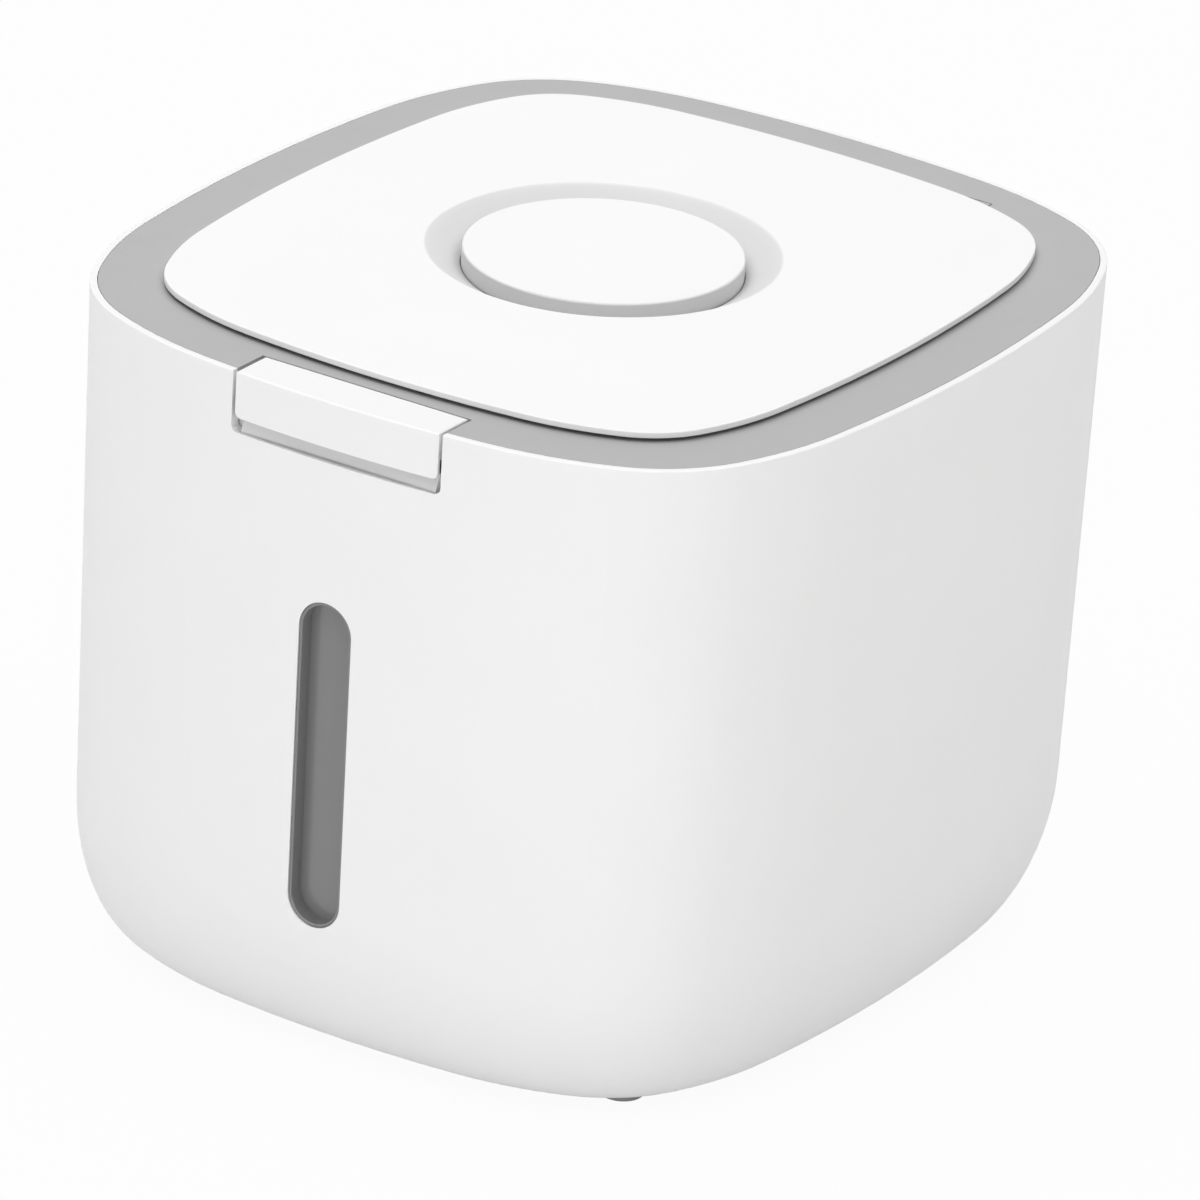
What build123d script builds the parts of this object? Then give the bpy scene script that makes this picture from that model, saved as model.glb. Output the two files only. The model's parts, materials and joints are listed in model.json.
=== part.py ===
from build123d import *
from math import atan, cos, hypot, pi, radians, sin, sqrt
import os

# Rice storage container: a lidded tub with a press-button latch, in millimetres.
# The origin is on the floor under the middle of the tub, +Z is up and the button faces -Y.

# Tub
body_width = 250.0
body_depth = 273.7
body_height = 205.0
wall_draft = 0.0151
base_curve_run = 20.8
base_curve_rise = 45.7
side_angle = 6.4
shoulder_angle = 24.7
shoulder_radius = 120.5
corner_radius = 52.8
wall = 3.6
floor_thickness = 3.0
lip = 2.1
lip_round = 0.5
base_sections = 7
base_blend = 10.0

# Feet
foot_radius = 6.75
foot_height = 3.0
foot_recess = 0.9
foot_round = 0.8
foot_inset_x = 46.2
foot_inset_y = 48.9

# Window
window_width = 18.0
window_length = 101.6
window_top_drop = 61.5
window_recess = 4.2
pane_thickness = 2.2
pane_margin = 3.5
pane_rim = 0.9
pane_rim_setback = 0.4
pane_rim_round = 0.3
seal_thickness = 0.8
seal_setback = 0.8
window_frame_margin = 2.5

# Collar
band_thickness = 2.5
collar_fit = 0.2
step_inset = 2.5
seat_drop = 3.0
seat_thickness = 2.5
mouth_inset = 14.0
throat_wall = 2.0
throat_depth = 32.0
hook_width = 9.0
hook_thickness = 1.6
hook_length = 6.5
hook_gap = 0.5
barb_reach = 1.2
barb_height = 2.0
hook_angle_step = 12.0

# Lid
lid_margin_x = 21.5
lid_margin_y = 20.9
lid_shoulder_radius = 94.5
lid_corner_radius = 33.2
lid_gap = 1.2
lid_edge_thickness = 1.75
lid_edge_round = 0.4
crown_rise = 2.45
crown_sections = 5
crown_inner_share = 0.4
lid_skin = 2.0
lid_border = 7.0
flange_inset = 3.2
flange_thickness = 2.8
plug_inset = 15.5
plug_wall = 2.0
plug_depth = 9.0
panel_thickness = 2.0
gasket_inset = 8.5
gasket_width = 3.0
gasket_groove = 1.6
gasket_round = 0.9
gasket_clearance = 0.15

# Screws
screw_radius = 1.3
screw_hole_clearance = 0.35
pilot_clearance = 0.05
screw_head_radius = 2.8
screw_head_height = 1.8
boss_radius = 3.5
lid_screw_length = 8.0
lid_screw_side_inset = 33.5
lid_screw_corner_inset_x = 49.5
lid_screw_corner_inset_y = 45.95

# Finger groove, desiccant cup and its cover
recess_radius = 51.85
groove_depth = 6.0
dish_wall = 2.0
cover_radius = 41.15
cover_clearance = 0.35
cover_drop = 0.2
cover_skin = 2.2
cover_round = 0.7
cover_gap = 0.2
cup_seat_drop = 1.8
cup_flange_thickness = 1.5
cup_flange_clearance = 0.6
cup_radius = 35.0
cup_wall = 2.6
cup_length = 18.6
cup_floor = 1.8
cup_clearance = 1.4
cup_hole_radius = 1.5
cup_hole_rings = 2
cup_hole_ring_step = 11.0
cup_holes_per_ring = 8
ring_section_radius = 0.95
ring_clearance = 0.2
skirt_clearance = 0.4
skirt_wall = 1.8
lug_count = 3
lug_angle = 14.0
lug_height = 1.6
lug_reach = 1.7
lug_drop = 0.5
lug_clearance = 0.3
lug_play_angle = 1.5
twist_angle = 45.0

# Hinge
hinge_inset = 3.0
hinge_drop = 1.0
pin_radius = 0.9
pin_clearance = 0.05
knuckle_radius = 1.9
knuckle_clearance = 0.5
center_knuckle_half = 7.0
spring_bay = 18.0
lid_knuckle_length = 13.0
end_knuckle_length = 12.0
open_angle = 95.0
swing_clearance = 0.6
pocket_wall = 2.0
hinge_coil_radius = 1.5
hinge_wire = 0.5
hinge_coil_turns = 6
hinge_leg = 1.0
web_setback = 1.0
strip_thickness = 1.2
strip_gap = 0.4

# Button and latch
button_half_width = 34.6
button_depth = 15.85
button_height = 14.0
button_skin = 2.4
button_front_thickness = 2.6
button_corner = 1.8
button_edge_round = 0.5
button_side_gap = 1.2
button_back_gap = 0.3
button_travel = 4.0
button_rest_gap = 4.6
notch_corner = 2.2
notch_lip = 1.0
cheek_thickness = 2.0
cheek_height = 6.0
tab_reach = 2.2
tab_height = 2.5
tab_gap = 0.4
tab_length = 5.0
tab_setback = 9.0
button_spring_x = 24.0
button_spring_setback = 9.6
button_coil_radius = 2.6
button_wire = 0.7
button_coil_turns = 5
guide_pin_radius = 1.5
guide_pin_length = 9.0
guide_post_length = 2.2
wedge_slope = 0.65
wedge_half_width = 4.0
wedge_tip = 1.0
wedge_length = 9.6
wedge_gap = 0.15
bolt_half_width = 7.0
bolt_thickness = 3.5
bolt_drop = 7.0
bolt_side_clearance = 0.2
bolt_tail = 3.4
bolt_engagement = 2.2
bolt_nose_chamfer = 1.2
bolt_coil_radius = 1.7
bolt_wire = 0.5
bolt_coil_turns = 3
spring_post_thickness = 1.6
spring_post_half_width = 5.0
apron_height = 5.4
apron_run = 2.2
apron_thickness = 1.2
post_gap = 0.4
tongue_inset = 3.6
tongue_thickness = 2.0
tongue_half_width = 9.0
tongue_bar = 3.0
tongue_play = 0.5
slot_play = 1.0
guide_wall = 2.5
guide_front_gap = 0.35
housing_half_width = 40.0
housing_wall = 2.0
housing_floor = 2.0
housing_gap = 0.3
housing_back_room = 1.8
ear_size = 9.0
ear_thickness = 2.0
ear_drop = 10.0
ear_front_setback = 12.0
ear_rear_setback = 24.5
housing_screw_length = 7.0

# How far a cut runs past a face, and how closely a place is found
cut_margin = 1.0
tolerance = 0.01

# Places worked out from the sizes above
half_width = body_width / 2
half_depth = body_depth / 2
front_y = -half_depth
underside_z = foot_height
rim_z = underside_z + body_height
lid_half_x = half_width - lid_margin_x
lid_half_y = half_depth - lid_margin_y
lid_under_z = rim_z + lid_gap
lid_edge_z = lid_under_z + lid_edge_thickness
recess_z = lid_edge_z + crown_rise
band_under_z = rim_z - band_thickness
seat_z = rim_z - seat_drop
seat_under_z = seat_z - seat_thickness
flange_under_z = lid_under_z - flange_thickness
panel_under_z = rim_z - plug_depth
panel_top_z = panel_under_z + panel_thickness
hinge_y = lid_half_y - hinge_inset
hinge_z = rim_z - hinge_drop
groove_foot_z = recess_z - groove_depth
cup_seat_z = groove_foot_z - cup_seat_drop
dish_under_z = cup_seat_z - dish_wall
groove_foot_radius = cover_radius + cover_clearance
well_radius = cup_radius + cup_clearance
cup_inner_radius = cup_radius - cup_wall
cup_top_z = cup_seat_z + cup_flange_thickness
cup_under_z = cup_seat_z - cup_length
ring_z = (dish_under_z + panel_under_z) / 2
skirt_radius = cup_inner_radius - skirt_clearance
lug_radius = skirt_radius + lug_reach
lug_top_z = cup_seat_z - lug_drop
cover_top_z = recess_z - cover_drop
cover_under_z = cup_top_z + cover_gap
bolt_top_z = rim_z - bolt_drop
bolt_under_z = bolt_top_z - bolt_thickness
bolt_travel = wedge_slope * button_travel
button_under_z = rim_z - button_height
notch_floor_z = button_under_z - button_rest_gap
housing_floor_z = notch_floor_z - housing_gap
tongue_y = -lid_half_y + tongue_inset
guide_back_y = tongue_y - slot_play
guide_front_y = guide_back_y - guide_wall - housing_gap
wedge_back_y = guide_front_y - guide_front_gap
wedge_tip_z = rim_z - button_skin - wedge_length
apron_foot_y = front_y + button_front_thickness + post_gap
post_y = apron_foot_y + apron_run
notch_half_width = button_half_width + button_side_gap
sill_half_width = notch_half_width - notch_corner
sill_under_z = housing_floor_z - housing_floor
sill_inset = notch_lip + (rim_z - notch_floor_z) * wall_draft
end_knuckle_start = center_knuckle_half + spring_bay + lid_knuckle_length + knuckle_clearance
pin_half_length = end_knuckle_start + end_knuckle_length
lid_swing = hypot(hinge_inset, lid_edge_z - hinge_z) + swing_clearance


def outline_arcs(half_x, half_y, shoulder, corner):
    """Sixteen tangent arcs of a soft square: centre, radius, first normal angle and sweep of each."""
    stops = [0, side_angle, shoulder_angle, 90 - shoulder_angle, 90 - side_angle, 90]
    runs = [cos(radians(a)) - cos(radians(b)) for a, b in zip(stops, stops[1:])]
    rises = [sin(radians(b)) - sin(radians(a)) for a, b in zip(stops, stops[1:])]
    rest_x = half_x - shoulder * (runs[1] + runs[3]) - corner * runs[2]
    rest_y = half_y - shoulder * (rises[1] + rises[3]) - corner * rises[2]
    scale = runs[0] * rises[4] - runs[4] * rises[0]
    side_x = (rest_x * rises[4] - rest_y * runs[4]) / scale
    side_y = (rest_y * runs[0] - rest_x * rises[0]) / scale
    shoulder_sweep = shoulder_angle - side_angle
    corner_sweep = 90 - 2 * shoulder_angle
    x = half_x - side_x * (1 - cos(radians(side_angle)))
    y = -side_x * sin(radians(side_angle))
    angle = -side_angle
    arcs = []
    for side in (side_x, side_y, side_x, side_y):
        quarter = (
            (side, 2 * side_angle),
            (shoulder, shoulder_sweep),
            (corner, corner_sweep),
            (shoulder, shoulder_sweep),
        )
        for radius, sweep_angle in quarter:
            center_x = x - radius * cos(radians(angle))
            center_y = y - radius * sin(radians(angle))
            arcs.append((center_x, center_y, radius, angle, sweep_angle))
            angle += sweep_angle
            x = center_x + radius * cos(radians(angle))
            y = center_y + radius * sin(radians(angle))
    return arcs


body_arcs = outline_arcs(half_width, half_depth, shoulder_radius, corner_radius)
lid_arcs = outline_arcs(lid_half_x, lid_half_y, lid_shoulder_radius, lid_corner_radius)


def arcs_face(arcs, inset, z):
    """Face inside the arcs, drawn in by an inset, at a height."""
    edges = [CenterArc((x, y), radius - inset, first, turn) for x, y, radius, first, turn in arcs]
    return Pos(0, 0, z) * make_face(edges)


def arcs_point(arcs, angle):
    """Point of the outline where its normal has this angle."""
    turned_angle = (angle + side_angle) % 360 - side_angle
    for x, y, radius, first, turn in arcs:
        if turned_angle <= first + turn:
            break
    return x + radius * cos(radians(angle)), y + radius * sin(radians(angle))


def arcs_slab(arcs, inset, low, high):
    return extrude(arcs_face(arcs, inset, low), high - low)


def arcs_ring(arcs, outer_inset, inner_inset, low, high):
    return arcs_slab(arcs, outer_inset, low, high) - arcs_slab(arcs, inner_inset, low, high)


def block(x_low, x_high, y_low, y_high, z_low, z_high):
    center = ((x_low + x_high) / 2, (y_low + y_high) / 2, (z_low + z_high) / 2)
    return Pos(*center) * Box(x_high - x_low, y_high - y_low, z_high - z_low)


def rod(x, y, low, high, radius):
    return Pos(x, y, (low + high) / 2) * Cylinder(radius, high - low)


def rod_x(x_low, x_high, y, z, radius):
    return Pos((x_low + x_high) / 2, y, z) * Rot(0, 90, 0) * Cylinder(radius, x_high - x_low)


def turned(points, angle=360.0):
    """Solid of revolution about Z from an outline of (radius, height) points."""
    face = Plane.XZ * make_face(Polyline(*points, close=True).edges())
    return revolve(face, Axis.Z, angle)


def prism(points, half_x):
    """Outline of (y, z) points drawn out to both sides along X."""
    face = Plane.YZ * make_face(Polyline(*points, close=True).edges())
    return extrude(face, half_x, both=True)


def one_solid(part):
    """The part's largest solid, which drops slivers left by cuts."""
    return max(part.solids(), key=lambda solid: solid.volume)


def helix_state(radius, pitch, turn, climb):
    """Point and unit tangent of a helix about Z after some turns, level where climb is 0."""
    angle = 2 * pi * turn
    point = Vector(radius * cos(angle), radius * sin(angle), pitch * turn)
    tangent = Vector(-sin(angle), cos(angle), climb * pitch / (2 * pi * radius))
    return point, tangent.normalized()


def biarc(start, start_tangent, end, end_tangent):
    """Two arcs that leave one point and reach another along the given tangents."""
    chord = end - start
    spread = start_tangent + end_tangent
    quad = 2 * (start_tangent.dot(end_tangent) - 1)
    lin = -2 * chord.dot(spread)
    reach = (-lin - sqrt(lin * lin - 4 * quad * chord.dot(chord))) / (2 * quad)
    middle = (start + start_tangent * reach + end - end_tangent * reach) / 2
    middle_tangent = (middle - start - start_tangent * reach).normalized()
    first = Edge.make_tangent_arc(start, start_tangent, middle)
    second = Edge.make_tangent_arc(middle, middle_tangent, end)
    return [first, second]


def coil(radius, pitch, turns, wire, lead=0.0, tail=0.0):
    """Wire wound about Z from the X axis, level at both ends, which may run on in straight legs."""
    point, tangent = helix_state(radius, pitch, 0, 0)
    begin = point - tangent * lead
    section = Plane(origin=begin, z_dir=tangent) * Circle(wire / 2)
    edges = []
    if lead > 0:
        edges.append(Edge.make_line(begin, point))
    halves = round(2 * turns)
    for half in range(1, halves + 1):
        climb = 1 if half < halves else 0
        end, end_tangent = helix_state(radius, pitch, half / 2, climb)
        edges += biarc(point, tangent, end, end_tangent)
        point, tangent = end, end_tangent
    if tail > 0:
        edges.append(Edge.make_line(point, point + tangent * tail))
    path = Wire(edges)
    print("least gap between turns", round(least_gap(path, radius, wire), 3))
    return sweep(section, path=path)


def least_gap(path, radius, wire):
    """Smallest gap between stretches of a wound wire that lie more than half a turn apart along it."""
    step = radius / 4
    count = round(path.length / step)
    points = [path.position_at(number / count) for number in range(count + 1)]
    apart = round(pi * radius / step)
    gaps = [(a - b).length for place, a in enumerate(points) for b in points[place + apart:]]
    return min(gaps) - wire


def screw(x, y, head_z, length):
    """Pan-head screw that points up, with the underside of its head at head_z."""
    shank = rod(x, y, head_z, head_z + length, screw_radius)
    head = rod(x, y, head_z - screw_head_height, head_z, screw_head_radius)
    low_rim = head.edges().filter_by(GeomType.CIRCLE).sort_by(Axis.Z)[0]
    return fillet(low_rim, screw_head_height / 2) + shank


def body_section(sink, z, inset):
    """Outline of the tub where its wall has drawn in by a sink."""
    share = 1 - sink / half_width
    arcs = outline_arcs(half_width - sink, half_depth - sink, shoulder_radius * share, corner_radius * share)
    return arcs_face(arcs, inset, z)


def body_loft(inset, floor_lift, top_z):
    """Tub form from its floor round the base curve and up the drafted wall."""
    curve_top_z = underside_z + base_curve_rise
    curve_sink = (rim_z - curve_top_z) * wall_draft
    sections = []
    for step in range(base_sections + 1):
        angle = radians(90 * (1 - step / base_sections))
        sink = curve_sink + base_curve_run * (1 - cos(angle))
        z = curve_top_z - (base_curve_rise - floor_lift) * sin(angle)
        sections.append(body_section(sink, z, inset))
    for step in (1, 2):
        z = curve_top_z + base_blend * step
        sections.append(body_section((rim_z - z) * wall_draft, z, inset))
    top_section = body_section((rim_z - top_z) * wall_draft, top_z, inset)
    return loft(sections) + loft([sections[-1], top_section], ruled=True)


body_form = body_loft(0, 0, rim_z)


def window_plane(depth):
    """Plane on the drafted front wall, a depth behind its face, with its normal pointing out."""
    middle_z = rim_z - window_top_drop - window_length / 2
    tilt = atan(wall_draft)
    normal = Vector(0, -cos(tilt), -sin(tilt))
    face_point = Vector(0, front_y + (rim_z - middle_z) * wall_draft, middle_z)
    return Plane(origin=face_point - normal * depth, x_dir=(1, 0, 0), z_dir=normal)


def window_slab(margin, depth, thickness):
    """Round-ended slab round the window, from a depth behind the front face outwards."""
    width = window_width + 2 * margin
    length = window_length + 2 * margin
    slot = SlotOverall(length, width, rotation=90)
    return extrude(window_plane(depth) * slot, thickness)


seal_depth = window_recess + seal_thickness
pane_depth = seal_depth + pane_thickness


def foot_places():
    for name_y, sign_y in (("front", -1), ("rear", 1)):
        for name_x, sign_x in (("left", -1), ("right", 1)):
            x = sign_x * (half_width - foot_inset_x)
            y = sign_y * (half_depth - foot_inset_y)
            yield "foot_" + name_y + "_" + name_x, x, y


def hook_angles():
    """Normal angles of the collar's snap hooks: a pair on each side and one at each corner."""
    for quarter in range(4):
        yield 90 * quarter - hook_angle_step
        yield 90 * quarter + hook_angle_step
        yield 90 * quarter + 45


def at_rim(angle, inset):
    """Place on the rim's outline with X pointing out of the tub."""
    x, y = arcs_point(body_arcs, angle)
    x -= inset * cos(radians(angle))
    y -= inset * sin(radians(angle))
    return Pos(x, y, 0) * Rot(0, 0, angle)


def snap_pocket(angle):
    barb_top = band_under_z - hook_length + barb_height
    reach = wall + hook_gap
    box = block(0, reach, -hook_width / 2 - hook_gap, hook_width / 2 + hook_gap,
                barb_top - barb_height - hook_gap, barb_top + hook_gap)
    return at_rim(angle, wall - barb_reach + reach) * box


def make_body_shell():
    cavity = body_loft(wall, floor_thickness, rim_z + wall)
    frame = window_slab(pane_margin + window_frame_margin, pane_depth, pane_depth + wall) & body_form
    outside = fillet(body_form.edges().group_by(Axis.Z)[-1], lip_round)
    shell = outside - cavity + frame
    shell -= arcs_slab(body_arcs, lip, band_under_z, rim_z + wall)
    shell -= window_slab(0, pane_depth + wall, 2 * pane_depth)
    shell -= window_slab(pane_margin, pane_depth + wall, wall + pane_depth - window_recess)
    notch_width = 2 * notch_half_width
    notch_height = 2 * (rim_z - notch_floor_z)
    notch_plane = Plane(origin=(0, front_y - wall, rim_z), x_dir=(1, 0, 0), z_dir=(0, 1, 0))
    notch = notch_plane * RectangleRounded(notch_width, notch_height, notch_corner)
    shell -= extrude(notch, button_depth)
    sill_cut_z = sill_under_z - housing_gap
    sill_cut = block(-sill_half_width, sill_half_width, front_y, front_y + button_depth, sill_cut_z, rim_z)
    shell -= sill_cut & arcs_slab(body_arcs, sill_inset, sill_cut_z, rim_z)
    for name, x, y in foot_places():
        shell -= rod(x, y, 0, underside_z + foot_recess, foot_radius + collar_fit)
    for angle in hook_angles():
        shell -= snap_pocket(angle)
    return one_solid(shell)


def make_foot(x, y):
    foot = rod(x, y, 0, underside_z + foot_recess, foot_radius)
    return fillet(foot.edges().filter_by(GeomType.CIRCLE).sort_by(Axis.Z)[0], foot_round)


def make_window_pane():
    """Pane behind the slot, with a rim that lines the slot's walls."""
    pane = window_slab(pane_margin - collar_fit, pane_depth, pane_thickness)
    pane += window_slab(-collar_fit, pane_depth, pane_depth - pane_rim_setback)
    pane -= window_slab(-collar_fit - pane_rim, seal_depth, seal_depth)
    return fillet(pane.faces().sort_by(Axis.Y)[0].edges(), pane_rim_round)


def make_window_seal():
    outer = window_slab(pane_margin - collar_fit, seal_depth, seal_thickness)
    return outer - window_slab(seal_setback, seal_depth, seal_thickness)


def snap_hook(angle):
    """Springy tab under the band with an outward barb."""
    top = band_under_z + band_thickness / 2
    foot = band_under_z - hook_length
    outer = hook_thickness
    points = [
        (0, top), (outer, top), (outer, foot + barb_height),
        (outer + barb_reach, foot + barb_height),
        (outer, foot), (0, foot),
    ]
    face = Plane.XZ * make_face(Polyline(*points, close=True).edges())
    tab = extrude(face, hook_width / 2, both=True)
    return at_rim(angle, wall + hook_gap + hook_thickness) * tab


def pocket_half_length():
    """Half the length of the lid's rear edge that dips below the rim when the lid is open."""
    edge_rise = (lid_edge_z - hinge_z) * abs(cos(radians(open_angle)))
    limit_y = hinge_y - hinge_drop - swing_clearance - edge_rise
    low, high = 45.0, 90.0
    while high - low > tolerance:
        middle = (low + high) / 2
        if arcs_point(lid_arcs, middle)[1] < limit_y:
            low = middle
        else:
            high = middle
    return arcs_point(lid_arcs, low)[0]


def collar_knuckles():
    yield -center_knuckle_half, center_knuckle_half
    yield end_knuckle_start, pin_half_length
    yield -pin_half_length, -end_knuckle_start


def lid_knuckles():
    start = center_knuckle_half + spring_bay
    yield start, start + lid_knuckle_length
    yield -start - lid_knuckle_length, -start


def pin_bore():
    half = pin_half_length + knuckle_radius
    return rod_x(-half, half, hinge_y, hinge_z, pin_radius + pin_clearance)


pocket_front_y = hinge_y - knuckle_radius - knuckle_clearance
pocket_back_y = hinge_y + lid_swing
pocket_floor_z = hinge_z - lid_swing


def make_rim_collar():
    half = pocket_half_length()
    collar = arcs_slab(body_arcs, lip + collar_fit, band_under_z, rim_z)
    collar -= arcs_slab(lid_arcs, step_inset, band_under_z, rim_z)
    collar += arcs_ring(lid_arcs, 0, step_inset, seat_under_z, rim_z)
    collar += arcs_ring(lid_arcs, 0, mouth_inset, seat_under_z, seat_z)
    collar += arcs_ring(lid_arcs, mouth_inset - throat_wall, mouth_inset, rim_z - throat_depth, seat_z)
    collar += block(-half - pocket_wall, half + pocket_wall, pocket_front_y - pocket_wall,
                    pocket_back_y + pocket_wall, pocket_floor_z - pocket_wall, seat_under_z + pocket_wall / 2)
    collar -= arcs_slab(lid_arcs, mouth_inset, rim_z - throat_depth, rim_z)
    collar -= block(-half, half, pocket_front_y, pocket_back_y, pocket_floor_z, rim_z)
    for low, high in collar_knuckles():
        collar += rod_x(low, high, hinge_y, hinge_z, knuckle_radius)
        collar += block(low, high, pocket_front_y, hinge_y - web_setback, pocket_floor_z, hinge_z)
    collar -= pin_bore()
    collar -= block(-notch_half_width, notch_half_width, front_y - wall,
                    front_y + button_depth + button_back_gap, band_under_z, rim_z)
    slot_half = tongue_half_width + tongue_play
    collar -= block(-slot_half, slot_half, tongue_y - slot_play, tongue_y + tongue_thickness + slot_play,
                    seat_under_z, rim_z)
    for angle in hook_angles():
        collar += snap_hook(angle)
    for x, y, top in ear_places():
        boss = rod(x, y, rim_z - ear_drop, top, boss_radius)
        collar += boss - rod(x, y, rim_z - ear_drop, top, screw_radius + pilot_clearance)
    return one_solid(collar)


def ear_places():
    """Screw places of the latch housing, with the height of the collar's underside above each."""
    for sign in (-1, 1):
        x = sign * (housing_half_width + ear_size / 2)
        yield x, front_y + ear_front_setback, band_under_z
        yield x, front_y + ear_rear_setback, seat_under_z


def apron(half_x):
    """Sloping wall behind the gap under the button, which closes the view into the housing."""
    top_z = housing_floor_z + apron_height
    back_y = post_y + apron_thickness
    points = [(apron_foot_y, sill_under_z), (apron_foot_y, housing_floor_z), (post_y, top_z),
              (back_y, top_z), (back_y, sill_under_z)]
    return prism(points, half_x)


def make_latch_housing():
    back_y = tongue_y + tongue_thickness + slot_play + housing_back_room
    wall_top_z = seat_under_z - housing_gap
    housing = block(-housing_half_width, housing_half_width, front_y, back_y + housing_wall,
                    sill_under_z, wall_top_z)
    inner_half = housing_half_width - housing_wall
    housing -= block(-inner_half, inner_half, front_y, back_y, housing_floor_z, wall_top_z)
    guide_half = bolt_half_width + bolt_side_clearance + housing_wall
    housing += block(-guide_half, guide_half, guide_front_y, guide_back_y, housing_floor_z, wall_top_z)
    channel_half = bolt_half_width + bolt_side_clearance
    housing -= block(-channel_half, channel_half, guide_front_y, guide_back_y,
                     bolt_under_z - bolt_side_clearance, bolt_top_z + bolt_side_clearance)
    post_back_y = post_y + spring_post_thickness
    housing += apron(inner_half)
    housing += block(-spring_post_half_width, spring_post_half_width, post_y, post_back_y,
                     housing_floor_z, bolt_top_z + bolt_side_clearance)
    rail_half = wedge_half_width + bolt_side_clearance
    for sign in (-1, 1):
        x_low, x_high = sorted((sign * rail_half, sign * channel_half))
        housing += block(x_low, x_high, post_back_y, guide_front_y,
                         housing_floor_z, bolt_under_z - bolt_side_clearance)
        housing += rod(sign * button_spring_x, front_y + button_spring_setback, housing_floor_z,
                       housing_floor_z + guide_post_length, guide_pin_radius)
    for x, y, top in ear_places():
        sign = 1 if x > 0 else -1
        x_low, x_high = sorted((sign * (housing_half_width - housing_wall / 2), x + sign * ear_size / 2))
        ear_top = rim_z - ear_drop
        housing += block(x_low, x_high, y - ear_size / 2, y + ear_size / 2, ear_top - ear_thickness, ear_top)
        housing -= rod(x, y, ear_top - ear_thickness, ear_top, screw_radius + screw_hole_clearance)
    front_inset = wall + housing_gap + wall_draft * (rim_z - sill_under_z)
    housing &= arcs_slab(body_arcs, front_inset, sill_under_z, rim_z)
    sill_half = sill_half_width - housing_gap
    sill = block(-sill_half, sill_half, front_y, post_back_y, sill_under_z, housing_floor_z)
    sill += apron(sill_half)
    housing += sill & arcs_slab(body_arcs, sill_inset + housing_gap, sill_under_z, rim_z)
    return one_solid(housing)


def make_housing_screws():
    head_z = rim_z - ear_drop - ear_thickness
    return [screw(x, y, head_z, min(housing_screw_length, top - head_z)) for x, y, top in ear_places()]


def wedge_front(z):
    """How far back the wedge's driving face is at a height."""
    return wedge_back_y - wedge_tip - wedge_slope * (z - wedge_tip_z)


def make_release_button():
    height = button_height + 2 * button_corner
    plane = Plane(origin=(0, front_y - wall, button_under_z + height / 2), x_dir=(1, 0, 0), z_dir=(0, 1, 0))
    profile = plane * RectangleRounded(2 * button_half_width, height, button_corner)
    button = extrude(profile, wall + button_depth) & body_form
    skin_z = rim_z - button_skin
    inner_y = front_y + button_front_thickness
    back_y = front_y + button_depth
    button -= block(-button_half_width, button_half_width, inner_y, back_y, button_under_z, skin_z)
    top_edges = button.edges().filter_by_position(Axis.Z, rim_z - tolerance, rim_z + tolerance)
    button = fillet(top_edges, button_edge_round)
    for sign in (-1, 1):
        cheek_x = sign * (button_half_width - cheek_thickness)
        x_low, x_high = sorted((cheek_x, sign * button_half_width))
        button += block(x_low, x_high, inner_y, back_y - button_edge_round, skin_z - cheek_height, skin_z)
        x_low, x_high = sorted((cheek_x, sign * (button_half_width + tab_reach)))
        tab_top = band_under_z - tab_gap
        tab_y = front_y + tab_setback
        button += block(x_low, x_high, tab_y, tab_y + tab_length, tab_top - tab_height, tab_top)
        button += rod(sign * button_spring_x, front_y + button_spring_setback,
                      skin_z - guide_pin_length, skin_z, guide_pin_radius)
    root_z = band_under_z - tab_gap
    root_y = back_y - button_edge_round
    wedge = [
        (wedge_front(skin_z), skin_z), (root_y, skin_z), (root_y, root_z), (wedge_back_y, root_z),
        (wedge_back_y, wedge_tip_z), (wedge_back_y - wedge_tip, wedge_tip_z),
    ]
    button += prism(wedge, wedge_half_width)
    return one_solid(button)


def make_latch_bolt():
    window_front_top = wedge_front(bolt_top_z) - wedge_gap
    window_front_low = wedge_front(bolt_under_z) - wedge_gap
    window_back = wedge_back_y + bolt_travel + bolt_side_clearance
    tail_y = window_front_top - bolt_tail
    tip_y = tongue_y + bolt_engagement
    points = [
        (tail_y, bolt_under_z), (tip_y, bolt_under_z), (tip_y, bolt_top_z - bolt_nose_chamfer),
        (tip_y - bolt_nose_chamfer, bolt_top_z), (tail_y, bolt_top_z),
    ]
    bolt = prism(points, bolt_half_width)
    window = [
        (window_front_low, bolt_under_z), (window_back, bolt_under_z),
        (window_back, bolt_top_z), (window_front_top, bolt_top_z),
    ]
    return one_solid(bolt - prism(window, wedge_half_width + bolt_side_clearance))


def make_bolt_spring():
    low_y = post_y + spring_post_thickness
    high_y = wedge_front(bolt_top_z) - wedge_gap - bolt_tail
    pitch = (high_y - low_y - bolt_wire) / bolt_coil_turns
    spring = coil(bolt_coil_radius, pitch, bolt_coil_turns, bolt_wire)
    middle_z = (bolt_top_z + bolt_under_z) / 2
    return Pos(0, low_y + bolt_wire / 2, middle_z) * Rot(-90, 0, 0) * spring


def make_button_spring(sign):
    low_z = housing_floor_z
    high_z = rim_z - button_skin
    pitch = (high_z - low_z - button_wire) / button_coil_turns
    spring = coil(button_coil_radius, pitch, button_coil_turns, button_wire)
    return Pos(sign * button_spring_x, front_y + button_spring_setback, low_z + button_wire / 2) * spring


def make_hinge_pin():
    return rod_x(-pin_half_length, pin_half_length, hinge_y, hinge_z, pin_radius)


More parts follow.
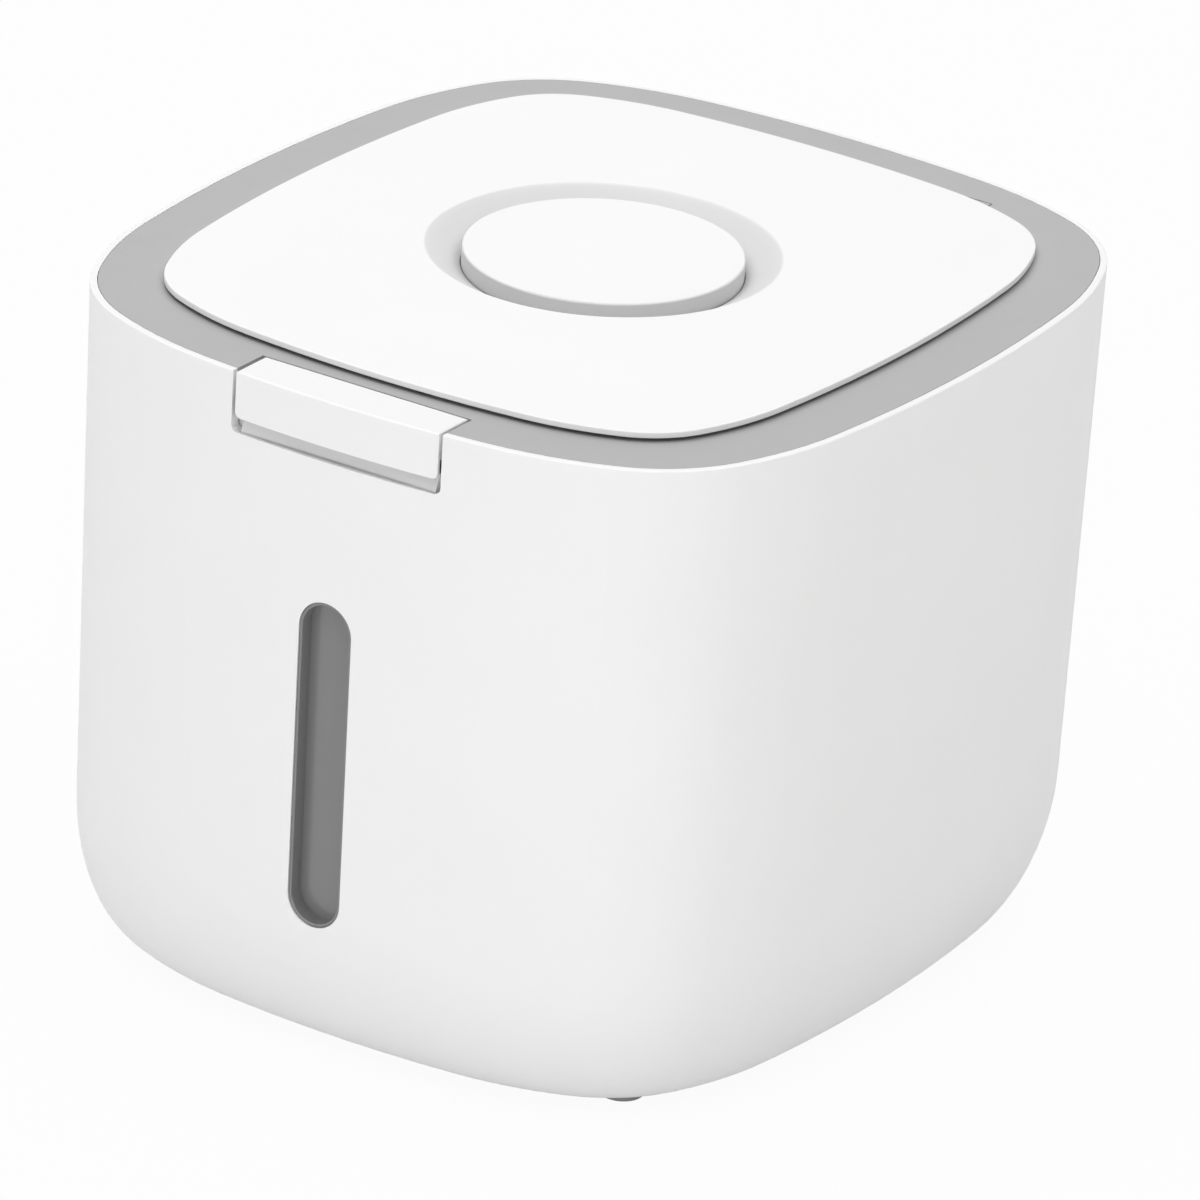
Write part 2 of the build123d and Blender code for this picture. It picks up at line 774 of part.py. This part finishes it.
def make_hinge_spring(sign):
    """Torsion spring round the pin: one leg down on the pocket floor, one up under the lid."""
    bay = spring_bay - 2 * knuckle_clearance - hinge_wire
    turns = hinge_coil_turns
    pitch = bay / turns
    down = hinge_z - pocket_floor_z - hinge_wire
    spring = coil(hinge_coil_radius, pitch, turns, hinge_wire, lead=down, tail=hinge_leg)
    start_x = center_knuckle_half + knuckle_clearance + hinge_wire / 2
    spring = mirror(Rot(0, 90, 0) * Rot(0, 0, 90) * spring, Plane.XZ)
    spring = Pos(start_x, hinge_y, hinge_z) * spring
    return spring if sign > 0 else mirror(spring, Plane.YZ)


def crown_z(share):
    """Height of the lid's crown where its outline has shrunk to a share."""
    return lid_edge_z + crown_rise * (1 - share ** 2) / (1 - (recess_radius / lid_half_x) ** 2)


def crowned_form():
    """Lid form with straight sides, whose outline shrinks evenly as it rises in a parabola."""
    sections = []
    for step in range(crown_sections):
        share = 1 - (1 - crown_inner_share) * step / (crown_sections - 1)
        arcs = outline_arcs(lid_half_x * share, lid_half_y * share,
                            lid_shoulder_radius * share, lid_corner_radius * share)
        sections.append(arcs_face(arcs, 0, crown_z(share)))
    return arcs_slab(lid_arcs, 0, lid_under_z, lid_edge_z) + loft(sections)


def lid_screw_places():
    for sign in (-1, 1):
        yield sign * (lid_half_x - lid_screw_side_inset), 0
        for end in (-1, 1):
            corner_x = lid_half_x - lid_screw_corner_inset_x
            corner_y = lid_half_y - lid_screw_corner_inset_y
            yield sign * corner_x, end * corner_y


def make_lid_top():
    lid = crowned_form()
    edge = lid.edges().filter_by_position(Axis.Z, lid_edge_z - lid_edge_round, lid_edge_z + lid_edge_round)
    lid = fillet(edge, lid_edge_round)
    hollow_inner = recess_radius + dish_wall
    hollow_outer = lid_half_x - lid_border
    lid -= turned([
        (hollow_inner, flange_under_z), (hollow_outer, flange_under_z),
        (hollow_outer, crown_z(hollow_outer / lid_half_x) - lid_skin),
        (hollow_inner, crown_z(hollow_inner / lid_half_x) - lid_skin),
    ])
    slant = (recess_radius - groove_foot_radius) / groove_depth
    dish_radius = groove_foot_radius + dish_wall
    dish_top_z = lid_under_z + lid_edge_thickness / 2
    dish_top_radius = groove_foot_radius + (dish_top_z - groove_foot_z) * slant + dish_wall * hypot(1, slant)
    dish_bend_z = dish_top_z - (dish_top_radius - dish_radius) / slant
    lid += turned([
        (0, dish_under_z), (dish_radius, dish_under_z), (dish_radius, dish_bend_z),
        (dish_top_radius, dish_top_z), (0, dish_top_z),
    ])
    lid -= turned([
        (0, cup_seat_z), (groove_foot_radius, cup_seat_z), (groove_foot_radius, groove_foot_z),
        (recess_radius + crown_rise * slant, recess_z + crown_rise), (0, recess_z + crown_rise),
    ])
    lid -= rod(0, 0, panel_under_z, groove_foot_z, well_radius)
    for x, y in lid_screw_places():
        lid += rod(x, y, panel_top_z, lid_under_z + lid_skin, boss_radius)
        lid -= rod(x, y, panel_under_z, panel_under_z + lid_screw_length + pilot_clearance,
                   screw_radius + pilot_clearance)
    return one_solid(lid)


def hinge_strip():
    """Cover of the slot behind the lid, carried by the lid's knuckles, which swings in under the pin."""
    half = pocket_half_length() - strip_gap
    back_y = pocket_back_y - strip_gap
    low_z = rim_z - strip_thickness
    strip = block(-half, half, hinge_y + knuckle_radius + strip_gap, back_y, low_z, rim_z)
    for low, high in lid_knuckles():
        strip += block(low, high, hinge_y, back_y, low_z, rim_z)
    for sign in (-1, 1):
        x_low, x_high = sorted((sign * (pin_half_length + strip_gap), sign * half))
        strip += block(x_low, x_high, pocket_front_y + strip_gap, back_y, low_z, rim_z)
    return strip


def make_lid_base():
    base = arcs_ring(lid_arcs, flange_inset, plug_inset + plug_wall, flange_under_z, lid_under_z)
    base += arcs_ring(lid_arcs, plug_inset, plug_inset + plug_wall, panel_under_z, lid_under_z)
    base += arcs_slab(lid_arcs, plug_inset, panel_under_z, panel_top_z)
    base += rod(0, 0, panel_under_z, dish_under_z, groove_foot_radius + dish_wall)
    base -= rod(0, 0, panel_under_z, dish_under_z, well_radius)
    base -= arcs_ring(lid_arcs, gasket_inset, gasket_inset + gasket_width, flange_under_z,
                      flange_under_z + gasket_groove)
    for x, y in lid_screw_places():
        base -= rod(x, y, panel_under_z, panel_top_z, screw_radius + screw_hole_clearance)
    bay_end = center_knuckle_half + spring_bay - knuckle_clearance
    end_start = end_knuckle_start - knuckle_clearance
    for low, high in ((-bay_end, bay_end), (end_start, half_width), (-half_width, -end_start)):
        base -= block(low, high, pocket_front_y, half_depth, flange_under_z, lid_under_z)
    for low, high in lid_knuckles():
        base += rod_x(low, high, hinge_y, hinge_z, knuckle_radius)
        base += block(low, high, hinge_y - knuckle_radius, hinge_y + knuckle_radius, hinge_z, lid_under_z)
    base += hinge_strip()
    base -= pin_bore()
    tongue_low_z = bolt_under_z - tongue_play - tongue_bar
    base += block(-tongue_half_width, tongue_half_width, tongue_y, tongue_y + tongue_thickness,
                  tongue_low_z, lid_under_z)
    base -= block(-bolt_half_width - tongue_play, bolt_half_width + tongue_play, tongue_y,
                  tongue_y + tongue_thickness, bolt_under_z - tongue_play, bolt_top_z + tongue_play)
    return one_solid(base)


def make_lid_gasket():
    top_z = flange_under_z + gasket_groove
    gasket = arcs_ring(lid_arcs, gasket_inset, gasket_inset + gasket_width, seat_z + gasket_clearance, top_z)
    low = gasket.edges().filter_by_position(Axis.Z, seat_z, seat_z + 2 * gasket_clearance)
    return fillet(low, gasket_round)


def make_lid_screws():
    return [screw(x, y, panel_under_z, lid_screw_length) for x, y in lid_screw_places()]


def make_desiccant_cup():
    flange_radius = groove_foot_radius - cup_flange_clearance
    inner_floor_z = cup_under_z + cup_floor
    cup = turned([
        (0, cup_under_z), (cup_radius, cup_under_z), (cup_radius, cup_seat_z), (flange_radius, cup_seat_z),
        (flange_radius, cup_top_z), (cup_inner_radius, cup_top_z), (cup_inner_radius, inner_floor_z),
        (0, inner_floor_z),
    ])
    groove_half = ring_section_radius + ring_clearance
    groove_radius = ring_radius - ring_section_radius - ring_clearance / 2
    cup -= turned([
        (groove_radius, ring_z - groove_half), (cup_radius + cut_margin, ring_z - groove_half),
        (cup_radius + cut_margin, ring_z + groove_half), (groove_radius, ring_z + groove_half),
    ])
    low = lug_top_z - lug_height - lug_clearance
    high = lug_top_z + lug_clearance
    track_radius = lug_radius + lug_clearance
    inner = cup_inner_radius - lug_reach
    track = [(inner, low), (track_radius, low), (track_radius, high), (inner, high)]
    entry_top = cup_top_z + cut_margin
    entry = [(inner, low), (track_radius, low), (track_radius, entry_top), (inner, entry_top)]
    for number in range(lug_count):
        first = 360 / lug_count * number - lug_angle / 2 - lug_play_angle
        cup -= Rot(0, 0, first) * turned(track, lug_angle + twist_angle + 2 * lug_play_angle)
        cup -= Rot(0, 0, first + twist_angle) * turned(entry, lug_angle + 2 * lug_play_angle)
    for ring in range(1, cup_hole_rings + 1):
        for number in range(cup_holes_per_ring * ring):
            turn = 360 / (cup_holes_per_ring * ring) * number
            place = Rot(0, 0, turn) * Pos(ring * cup_hole_ring_step, 0, 0)
            cup -= place * rod(0, 0, cup_under_z, inner_floor_z, cup_hole_radius)
    return one_solid(cup)


ring_radius = well_radius - ring_clearance - ring_section_radius


def make_cup_seal():
    return Pos(0, 0, ring_z) * Torus(ring_radius, ring_section_radius)


def make_compartment_cover():
    skin_z = cover_top_z - cover_skin
    inner_radius = cover_radius - cover_skin
    skirt_low_z = lug_top_z - lug_height - lug_drop
    skirt_inner = skirt_radius - skirt_wall
    cover = turned([
        (0, cover_top_z), (cover_radius, cover_top_z), (cover_radius, cover_under_z),
        (inner_radius, cover_under_z), (inner_radius, skin_z), (skirt_radius, skin_z),
        (skirt_radius, skirt_low_z), (skirt_inner, skirt_low_z), (skirt_inner, skin_z), (0, skin_z),
    ])
    top_edge = cover.edges().filter_by(GeomType.CIRCLE).group_by(Axis.Z)[-1]
    cover = fillet(top_edge, cover_round)
    root = skirt_radius - skirt_wall / 2
    lug = [
        (root, lug_top_z - lug_height), (lug_radius, lug_top_z - lug_height),
        (lug_radius, lug_top_z), (root, lug_top_z),
    ]
    for number in range(lug_count):
        cover += Rot(0, 0, 360 / lug_count * number - lug_angle / 2) * turned(lug, lug_angle)
    return one_solid(cover)


def make_parts():
    parts = {
        "body_shell": make_body_shell(),
        "window_pane": make_window_pane(),
        "window_seal": make_window_seal(),
        "rim_collar": make_rim_collar(),
        "latch_housing": make_latch_housing(),
        "housing_screws": make_housing_screws(),
        "release_button": make_release_button(),
        "button_spring_left": make_button_spring(-1),
        "button_spring_right": make_button_spring(1),
        "latch_bolt": make_latch_bolt(),
        "bolt_spring": make_bolt_spring(),
        "hinge_pin": make_hinge_pin(),
        "hinge_spring_left": make_hinge_spring(-1),
        "hinge_spring_right": make_hinge_spring(1),
        "lid_top": make_lid_top(),
        "lid_base": make_lid_base(),
        "lid_gasket": make_lid_gasket(),
        "lid_screws": make_lid_screws(),
        "desiccant_cup": make_desiccant_cup(),
        "cup_seal": make_cup_seal(),
        "compartment_cover": make_compartment_cover(),
    }
    for name, x, y in foot_places():
        parts[name] = make_foot(x, y)
    return parts


os.makedirs("parts", exist_ok=True)
for node, part in make_parts().items():
    solids = Compound(children=part) if isinstance(part, list) else part
    export_step(solids, "parts/" + node + ".step")
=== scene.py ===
"""Rice storage container: the finish of every piece, a pale floor, soft studio light and the camera."""
import bpy
import json
from math import cos, radians, sin
from mathutils import Matrix, Vector


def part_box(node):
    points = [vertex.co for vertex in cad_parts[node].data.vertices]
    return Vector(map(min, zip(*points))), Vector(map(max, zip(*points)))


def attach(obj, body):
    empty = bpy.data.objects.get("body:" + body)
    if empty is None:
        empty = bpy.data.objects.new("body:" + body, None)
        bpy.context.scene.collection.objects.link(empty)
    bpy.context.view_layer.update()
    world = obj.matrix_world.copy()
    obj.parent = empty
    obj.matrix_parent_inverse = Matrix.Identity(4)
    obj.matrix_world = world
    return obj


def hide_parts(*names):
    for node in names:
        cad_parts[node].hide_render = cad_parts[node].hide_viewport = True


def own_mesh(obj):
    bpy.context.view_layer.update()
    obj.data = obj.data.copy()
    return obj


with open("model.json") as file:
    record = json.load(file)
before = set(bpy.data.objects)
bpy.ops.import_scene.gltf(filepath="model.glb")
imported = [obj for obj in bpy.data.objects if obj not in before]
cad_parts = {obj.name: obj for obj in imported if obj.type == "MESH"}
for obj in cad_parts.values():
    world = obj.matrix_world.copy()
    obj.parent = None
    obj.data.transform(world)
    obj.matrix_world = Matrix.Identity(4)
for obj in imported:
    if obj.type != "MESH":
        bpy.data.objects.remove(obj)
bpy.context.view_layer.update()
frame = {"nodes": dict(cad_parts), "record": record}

MM = 0.001

# Camera: where it stands round the middle of the rim, and how it is turned from looking straight at it
RIM_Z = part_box("body_shell")[1][2]
CAMERA_AZIMUTH = 32.147
CAMERA_ELEVATION = 21.819
CAMERA_DISTANCE = 3600.78 * MM
CAMERA_PAN = -0.0814
CAMERA_TILT = 1.5321
CAMERA_ROLL = 3.53
CAMERA_LENS = 373.15
CAMERA_REACH = 100.0
SENSOR_WIDTH = 36.0

# Surroundings: strength of the light by height in the sky, where 0 is the horizon and 1 is straight up
HORIZON_STRENGTH = 1.2
HORIZON_HEIGHT = 0.22
CEILING_STRENGTH = 1.7
CEILING_LOW = 0.55
CEILING_HIGH = 0.75
PURE_WHITE = (1.0, 1.0, 1.0, 1.0)

# Floor: its own colour, and how much of what the camera sees of it is plain white
FLOOR_SIZE = 30.0
FLOOR_COLOUR = (0.68, 0.68, 0.68, 1.0)
FLOOR_ROUGHNESS = 0.9
FLOOR_GLOW = 0.95

# Lamps: name, place, width, height and power in watts
LAMPS = (
    ("overhead", (-0.8, 0.1, 2.4), 0.5, 0.5, 6.0),
    ("front", (-0.3, -2.6, 0.15), 2.4, 0.3, 18.5),
    ("side", (2.4, -0.8, 0.15), 1.6, 0.3, 11.0),
)

# Springs of the latch: their node, the joint that shortens them, and which way they lie
SHORTENING_SPRINGS = (
    ("button_spring_left", "button_press", (0, 0, 1)),
    ("button_spring_right", "button_press", (0, 0, 1)),
    ("bolt_spring", "bolt_retract", (0, 1, 0)),
)

# Colours, as linear values
WHITE = (0.87, 0.87, 0.868)
LID_WHITE = (0.88, 0.88, 0.878)
INNER_WHITE = (0.80, 0.80, 0.795)
GRAY = (0.42, 0.42, 0.424)
# lighter than the collar's gray: painted light for the latch housing's strip in its shadowed gap
HOUSING_GRAY_PAINTED_LIGHT = (0.76, 0.76, 0.765)
BOLT_GRAY = (0.30, 0.30, 0.31)
SMOKE = (0.212, 0.212, 0.215)
SILICONE = (0.55, 0.55, 0.55)
RUBBER = (0.29, 0.29, 0.288)
STEEL = (0.62, 0.62, 0.63)

# Moulded finishes: roughness, size of the mould's grain and its relief
SATIN = {"roughness": 0.55, "grain": 0.5 * MM, "relief": 0.006 * MM}
FINE_SATIN = {"roughness": 0.5, "grain": 0.4 * MM, "relief": 0.004 * MM}
INNER_SATIN = {"roughness": 0.45, "grain": 0.6 * MM, "relief": 0.008 * MM}
RIM_SATIN = {"roughness": 0.45, "grain": 0.5 * MM, "relief": 0.008 * MM}
SMOOTH = {"roughness": 0.30, "grain": 0.4 * MM, "relief": 0.003 * MM}

# Lid and cover: how dark the painted shade in their tight corners gets, how far off a surface counts there,
# and the painted shade inside the lid's finger groove
LID_DARKEST_PAINTED_SHADE = 0.6
COVER_DARKEST_PAINTED_SHADE = 0.75
PAINTED_SHADE_REACH = 16 * MM
PAINTED_SHADE_SAMPLES = 12
GROOVE_RADIUS = 51.85 * MM
GROOVE_EDGE = 0.4 * MM
GROOVE_PAINTED_SHADE = 0.87

# Pieces that have a material of their own instead of their slot's: the housing a lighter gray than its
# collar slot, as painted light for its strip in a shadowed gap, and the cover a milder painted corner shade
# than the lid's
OWN_MATERIALS = {"latch_housing": "housing_gray_painted_light", "compartment_cover": "cover_white"}

# Range that most noise values lie in
NOISE_LOW = 0.3
NOISE_HIGH = 0.7


class Shader:
    """A new material with its main shader and small helpers that add nodes to it."""

    def __init__(self, name, refraction):
        self.material = bpy.data.materials.new(name)
        self.material.use_nodes = True
        self.nodes = self.material.node_tree.nodes
        self.links = self.material.node_tree.links
        self.main = self.nodes["Principled BSDF"]
        self.main.inputs["IOR"].default_value = refraction
        self.place = self.nodes.new("ShaderNodeTexCoord").outputs["Object"]

    def noise(self, grain, detail=2.0, stretch=(1.0, 1.0, 1.0)):
        """Noise whose spots are about this many metres across."""
        mapping = self.nodes.new("ShaderNodeMapping")
        mapping.inputs["Scale"].default_value = stretch
        self.links.new(self.place, mapping.inputs["Vector"])
        noise = self.nodes.new("ShaderNodeTexNoise")
        noise.inputs["Scale"].default_value = 1 / grain
        noise.inputs["Detail"].default_value = detail
        self.links.new(mapping.outputs["Vector"], noise.inputs["Vector"])
        return noise.outputs["Fac"]

    def spread(self, value, low, high):
        """Maps a noise value onto a range."""
        ramp = self.nodes.new("ShaderNodeMapRange")
        ramp.inputs["From Min"].default_value = NOISE_LOW
        ramp.inputs["From Max"].default_value = NOISE_HIGH
        ramp.inputs["To Min"].default_value = low
        ramp.inputs["To Max"].default_value = high
        self.links.new(value, ramp.inputs["Value"])
        return ramp.outputs["Result"]

    def colour(self, value, first, second):
        """Base colour that drifts between two colours with a noise value."""
        mix = self.nodes.new("ShaderNodeMix")
        mix.data_type = "RGBA"
        mix.inputs["A"].default_value = (*first, 1.0)
        mix.inputs["B"].default_value = (*second, 1.0)
        self.links.new(self.spread(value, 0.0, 1.0), mix.inputs["Factor"])
        self.links.new(mix.outputs["Result"], self.main.inputs["Base Color"])

    def scale_colour(self, share):
        """Multiplies the base colour by a value."""
        scale = self.nodes.new("ShaderNodeVectorMath")
        scale.operation = "SCALE"
        self.links.new(self.main.inputs["Base Color"].links[0].from_socket, scale.inputs["Vector"])
        self.links.new(share, scale.inputs["Scale"])
        self.links.new(scale.outputs["Vector"], self.main.inputs["Base Color"])

    def paint_corner_shade(self, darkest_painted_shade):
        """Paints shade into the base colour: darkens it a little where other surfaces hem it in."""
        corner_occlusion_for_shade = self.nodes.new("ShaderNodeAmbientOcclusion")
        corner_occlusion_for_shade.inputs["Distance"].default_value = PAINTED_SHADE_REACH
        corner_occlusion_for_shade.samples = PAINTED_SHADE_SAMPLES
        share = self.nodes.new("ShaderNodeMapRange")
        share.inputs["To Min"].default_value = darkest_painted_shade
        self.links.new(corner_occlusion_for_shade.outputs["AO"], share.inputs["Value"])
        self.scale_colour(share.outputs["Result"])

    def paint_groove_shade(self):
        """Paints shade into the base colour: a slightly deeper tone inside the finger groove's rim."""
        flat = self.nodes.new("ShaderNodeVectorMath")
        flat.operation = "MULTIPLY"
        flat.inputs[1].default_value = (1.0, 1.0, 0.0)
        self.links.new(self.place, flat.inputs[0])
        reach = self.nodes.new("ShaderNodeVectorMath")
        reach.operation = "LENGTH"
        self.links.new(flat.outputs["Vector"], reach.inputs["Vector"])
        share = self.nodes.new("ShaderNodeMapRange")
        share.inputs["From Min"].default_value = GROOVE_RADIUS - GROOVE_EDGE
        share.inputs["From Max"].default_value = GROOVE_RADIUS + GROOVE_EDGE
        share.inputs["To Min"].default_value = GROOVE_PAINTED_SHADE
        self.links.new(reach.outputs["Value"], share.inputs["Value"])
        self.scale_colour(share.outputs["Result"])

    def roughness(self, value, middle, drift):
        """Roughness that drifts to both sides of a middle value with a noise value."""
        self.links.new(self.spread(value, middle - drift, middle + drift), self.main.inputs["Roughness"])

    def bump(self, value, height):
        """Surface relief of a height in metres."""
        bump = self.nodes.new("ShaderNodeBump")
        bump.inputs["Distance"].default_value = height
        bump.inputs["Strength"].default_value = 1.0
        self.links.new(value, bump.inputs["Height"])
        self.links.new(bump.outputs["Normal"], self.main.inputs["Normal"])


def shade(colour, share):
    """A share of a colour."""
    return tuple(channel * share for channel in colour)


def moulded_plastic(name, colour, roughness, grain, relief, darkest_painted_shade=1.0, painted_groove_shade=False):
    """Satin moulded plastic: spark-eroded grain, slow drift in tone and gloss, and where asked painted
    shade in tight corners and in the finger groove.
    """
    shader = Shader(name, refraction=1.49)
    slow = shader.noise(grain=60 * MM, detail=3.0)
    shader.colour(slow, shade(colour, share=0.985), colour)
    # painted shade: darkens the colour in corners hemmed in by other surfaces
    if darkest_painted_shade < 1.0:
        shader.paint_corner_shade(darkest_painted_shade)
    # painted shade: a deeper tone inside the finger groove's rim
    if painted_groove_shade:
        shader.paint_groove_shade()
    shader.roughness(shader.noise(grain=9 * MM), roughness, drift=0.03)
    shader.bump(shader.noise(grain, detail=3.0), height=relief)
    return shader.material


def smoky_pane(name):
    """Smoky clear plastic of the window, with faint moulding streaks along its length."""
    shader = Shader(name, refraction=1.58)
    streaks = shader.noise(grain=12 * MM, stretch=(1.0, 1.0, 0.15))
    shader.colour(streaks, shade(SMOKE, share=0.96), SMOKE)
    shader.roughness(shader.noise(grain=4 * MM), middle=0.19, drift=0.03)
    shader.bump(shader.noise(grain=6 * MM), height=0.01 * MM)
    return shader.material


def soft_rubber(name, colour, roughness):
    """Matt elastomer with a fine dusty grain."""
    shader = Shader(name, refraction=1.42)
    shader.colour(shader.noise(grain=5 * MM, detail=4.0), shade(colour, share=0.93), colour)
    shader.roughness(shader.noise(grain=2 * MM), roughness, drift=0.06)
    shader.bump(shader.noise(grain=0.35 * MM), height=0.02 * MM)
    shader.main.inputs["Sheen Weight"].default_value = 0.15
    return shader.material


def drawn_steel(name):
    """Bright drawn steel with fine lines along its length."""
    shader = Shader(name, refraction=1.5)
    lines = shader.noise(grain=0.5 * MM, stretch=(0.08, 1.0, 1.0))
    shader.colour(lines, shade(STEEL, share=0.9), STEEL)
    shader.roughness(lines, middle=0.29, drift=0.07)
    shader.bump(lines, height=0.004 * MM)
    shader.main.inputs["Metallic"].default_value = 1.0
    return shader.material


def make_materials():
    """One material for each slot of the record, and one for each piece that differs from its slot."""
    return {
        "tub_white": moulded_plastic("tub_white", WHITE, **SATIN),
        # lid and cover get painted shade in tight corners; the lid also gets painted shade in its finger
        # groove
        "lid_white": moulded_plastic("lid_white", LID_WHITE, **SATIN, darkest_painted_shade=LID_DARKEST_PAINTED_SHADE, painted_groove_shade=True),
        "cover_white": moulded_plastic("cover_white", LID_WHITE, **SATIN, darkest_painted_shade=COVER_DARKEST_PAINTED_SHADE),
        "button_white": moulded_plastic("button_white", WHITE, **FINE_SATIN),
        "lid_inner": moulded_plastic("lid_inner", INNER_WHITE, **INNER_SATIN),
        "collar_gray": moulded_plastic("collar_gray", GRAY, **RIM_SATIN),
        # painted light: the housing is lighter than the collar's gray so that its shadowed strip reads
        # bright
        "housing_gray_painted_light": moulded_plastic("housing_gray_painted_light", HOUSING_GRAY_PAINTED_LIGHT, **RIM_SATIN),
        "bolt_plastic": moulded_plastic("bolt_plastic", BOLT_GRAY, **SMOOTH),
        "window_smoke": smoky_pane("window_smoke"),
        "soft_seal": soft_rubber("soft_seal", SILICONE, roughness=0.55),
        "foot_rubber": soft_rubber("foot_rubber", RUBBER, roughness=0.7),
        "steel": drawn_steel("steel"),
    }


def dress_nodes(materials):
    """Gives every carried-over node the material of its slot, or its own."""
    for subpart in frame["record"]["subparts"]:
        node = frame["nodes"][subpart["node"]]
        node.data.materials.clear()
        node.data.materials.append(materials[subpart["material_slot"]])
    for node, material in OWN_MATERIALS.items():
        frame["nodes"][node].data.materials[0] = materials[material]


def make_springs():
    """Copies of the latch's springs, fixed to the tub in place of the rigid ones."""
    for node, joint, run in SHORTENING_SPRINGS:
        coil = bpy.data.objects.new(node + "_coil", frame["nodes"][node].data.copy())
        bpy.context.collection.objects.link(coil)
        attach(coil, "tub")
        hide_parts(node)
        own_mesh(coil)


def seen_rays(nodes, links):
    """A value that is 1 for rays that show the background: straight, mirrored or through glass."""
    path = nodes.new("ShaderNodeLightPath")
    total = path.outputs["Is Camera Ray"]
    for kind in ("Is Glossy Ray", "Is Transmission Ray"):
        larger = nodes.new("ShaderNodeMath")
        larger.operation = "MAXIMUM"
        links.new(total, larger.inputs[0])
        links.new(path.outputs[kind], larger.inputs[1])
        total = larger.outputs["Value"]
    return total


def make_floor():
    """Pale floor that glows towards the camera, so that it reads as white and keeps a soft shadow."""
    bpy.ops.mesh.primitive_plane_add(size=FLOOR_SIZE)
    floor = bpy.context.object
    floor.name = "floor"
    material = bpy.data.materials.new("floor")
    material.use_nodes = True
    nodes = material.node_tree.nodes
    links = material.node_tree.links
    matt = nodes["Principled BSDF"]
    matt.inputs["Base Color"].default_value = FLOOR_COLOUR
    matt.inputs["Roughness"].default_value = FLOOR_ROUGHNESS
    matt.inputs["Specular IOR Level"].default_value = 0.0
    glow = nodes.new("ShaderNodeEmission")
    share = nodes.new("ShaderNodeMath")
    share.operation = "MULTIPLY"
    share.inputs[1].default_value = FLOOR_GLOW
    links.new(seen_rays(nodes, links), share.inputs[0])
    mix = nodes.new("ShaderNodeMixShader")
    links.new(share.outputs["Value"], mix.inputs["Fac"])
    links.new(matt.outputs["BSDF"], mix.inputs[1])
    links.new(glow.outputs["Emission"], mix.inputs[2])
    links.new(mix.outputs["Shader"], nodes["Material Output"].inputs["Surface"])
    floor.data.materials.append(material)


def sky_band(nodes, links, height, low, high, strength_low, strength_high):
    """Strength that goes smoothly from one value to another between two heights of the sky."""
    fade = nodes.new("ShaderNodeMapRange")
    fade.interpolation_type = "SMOOTHSTEP"
    fade.inputs["From Min"].default_value = low
    fade.inputs["From Max"].default_value = high
    fade.inputs["To Min"].default_value = strength_low
    fade.inputs["To Max"].default_value = strength_high
    links.new(height, fade.inputs["Value"])
    return fade.outputs["Result"]


def sky_strength(nodes, links):
    """Light of a studio tent: low white walls all round and a broad panel overhead."""
    direction = nodes.new("ShaderNodeTexCoord").outputs["Generated"]
    parts = nodes.new("ShaderNodeSeparateXYZ")
    links.new(direction, parts.inputs["Vector"])
    height = parts.outputs["Z"]
    walls = sky_band(nodes, links, height, low=0.0, high=HORIZON_HEIGHT,
                     strength_low=HORIZON_STRENGTH, strength_high=0.0)
    panel = sky_band(nodes, links, height, low=CEILING_LOW, high=CEILING_HIGH,
                     strength_low=0.0, strength_high=CEILING_STRENGTH)
    total = nodes.new("ShaderNodeMath")
    links.new(walls, total.inputs[0])
    links.new(panel, total.inputs[1])
    return total.outputs["Value"]


def make_world():
    """Studio light all round, shown as plain white behind the object."""
    world = bpy.data.worlds.new("studio")
    bpy.context.scene.world = world
    world.use_nodes = True
    nodes = world.node_tree.nodes
    links = world.node_tree.links
    light = nodes["Background"]
    light.inputs["Color"].default_value = PURE_WHITE
    links.new(sky_strength(nodes, links), light.inputs["Strength"])
    backdrop = nodes.new("ShaderNodeBackground")
    backdrop.inputs["Color"].default_value = PURE_WHITE
    mix = nodes.new("ShaderNodeMixShader")
    links.new(seen_rays(nodes, links), mix.inputs["Fac"])
    links.new(light.outputs["Background"], mix.inputs[1])
    links.new(backdrop.outputs["Background"], mix.inputs[2])
    links.new(mix.outputs["Shader"], nodes["World Output"].inputs["Surface"])


def soft_box(name, place, width, height, power):
    """Large soft light that faces the middle of the tub."""
    lamp = bpy.data.lights.new(name, "AREA")
    lamp.shape = "RECTANGLE"
    lamp.size = width
    lamp.size_y = height
    lamp.energy = power
    box = bpy.data.objects.new(name, lamp)
    bpy.context.collection.objects.link(box)
    box.location = place
    aim = Vector((0, 0, RIM_Z / 2)) - Vector(place)
    box.rotation_euler = aim.to_track_quat("-Z", "Y").to_euler()


def make_camera():
    """Camera at the photograph's viewing angle."""
    azimuth = radians(CAMERA_AZIMUTH)
    elevation = radians(CAMERA_ELEVATION)
    away = Vector((sin(azimuth) * cos(elevation), -cos(azimuth) * cos(elevation), sin(elevation)))
    forward = -away
    right = forward.cross(Vector((0, 0, 1))).normalized()
    up = right.cross(forward)
    turn = (Matrix.Rotation(radians(CAMERA_ROLL), 3, "Z")
            @ Matrix.Rotation(radians(CAMERA_TILT), 3, "X")
            @ Matrix.Rotation(radians(CAMERA_PAN), 3, "Y"))
    rows = turn @ Matrix((right, -up, forward))
    axes = Matrix((rows[0], -rows[1], -rows[2])).transposed()
    place = away * CAMERA_DISTANCE + Vector((0, 0, RIM_Z))
    data = bpy.data.cameras.new("camera")
    data.lens = CAMERA_LENS
    data.sensor_width = SENSOR_WIDTH
    data.clip_end = CAMERA_REACH
    camera = bpy.data.objects.new("camera", data)
    bpy.context.collection.objects.link(camera)
    camera.matrix_world = Matrix.Translation(place) @ axes.to_4x4()
    bpy.context.scene.camera = camera


dress_nodes(make_materials())
make_springs()
make_floor()
make_world()
for lamp in LAMPS:
    soft_box(*lamp)
make_camera()
bpy.context.scene.view_settings.view_transform = "Standard"
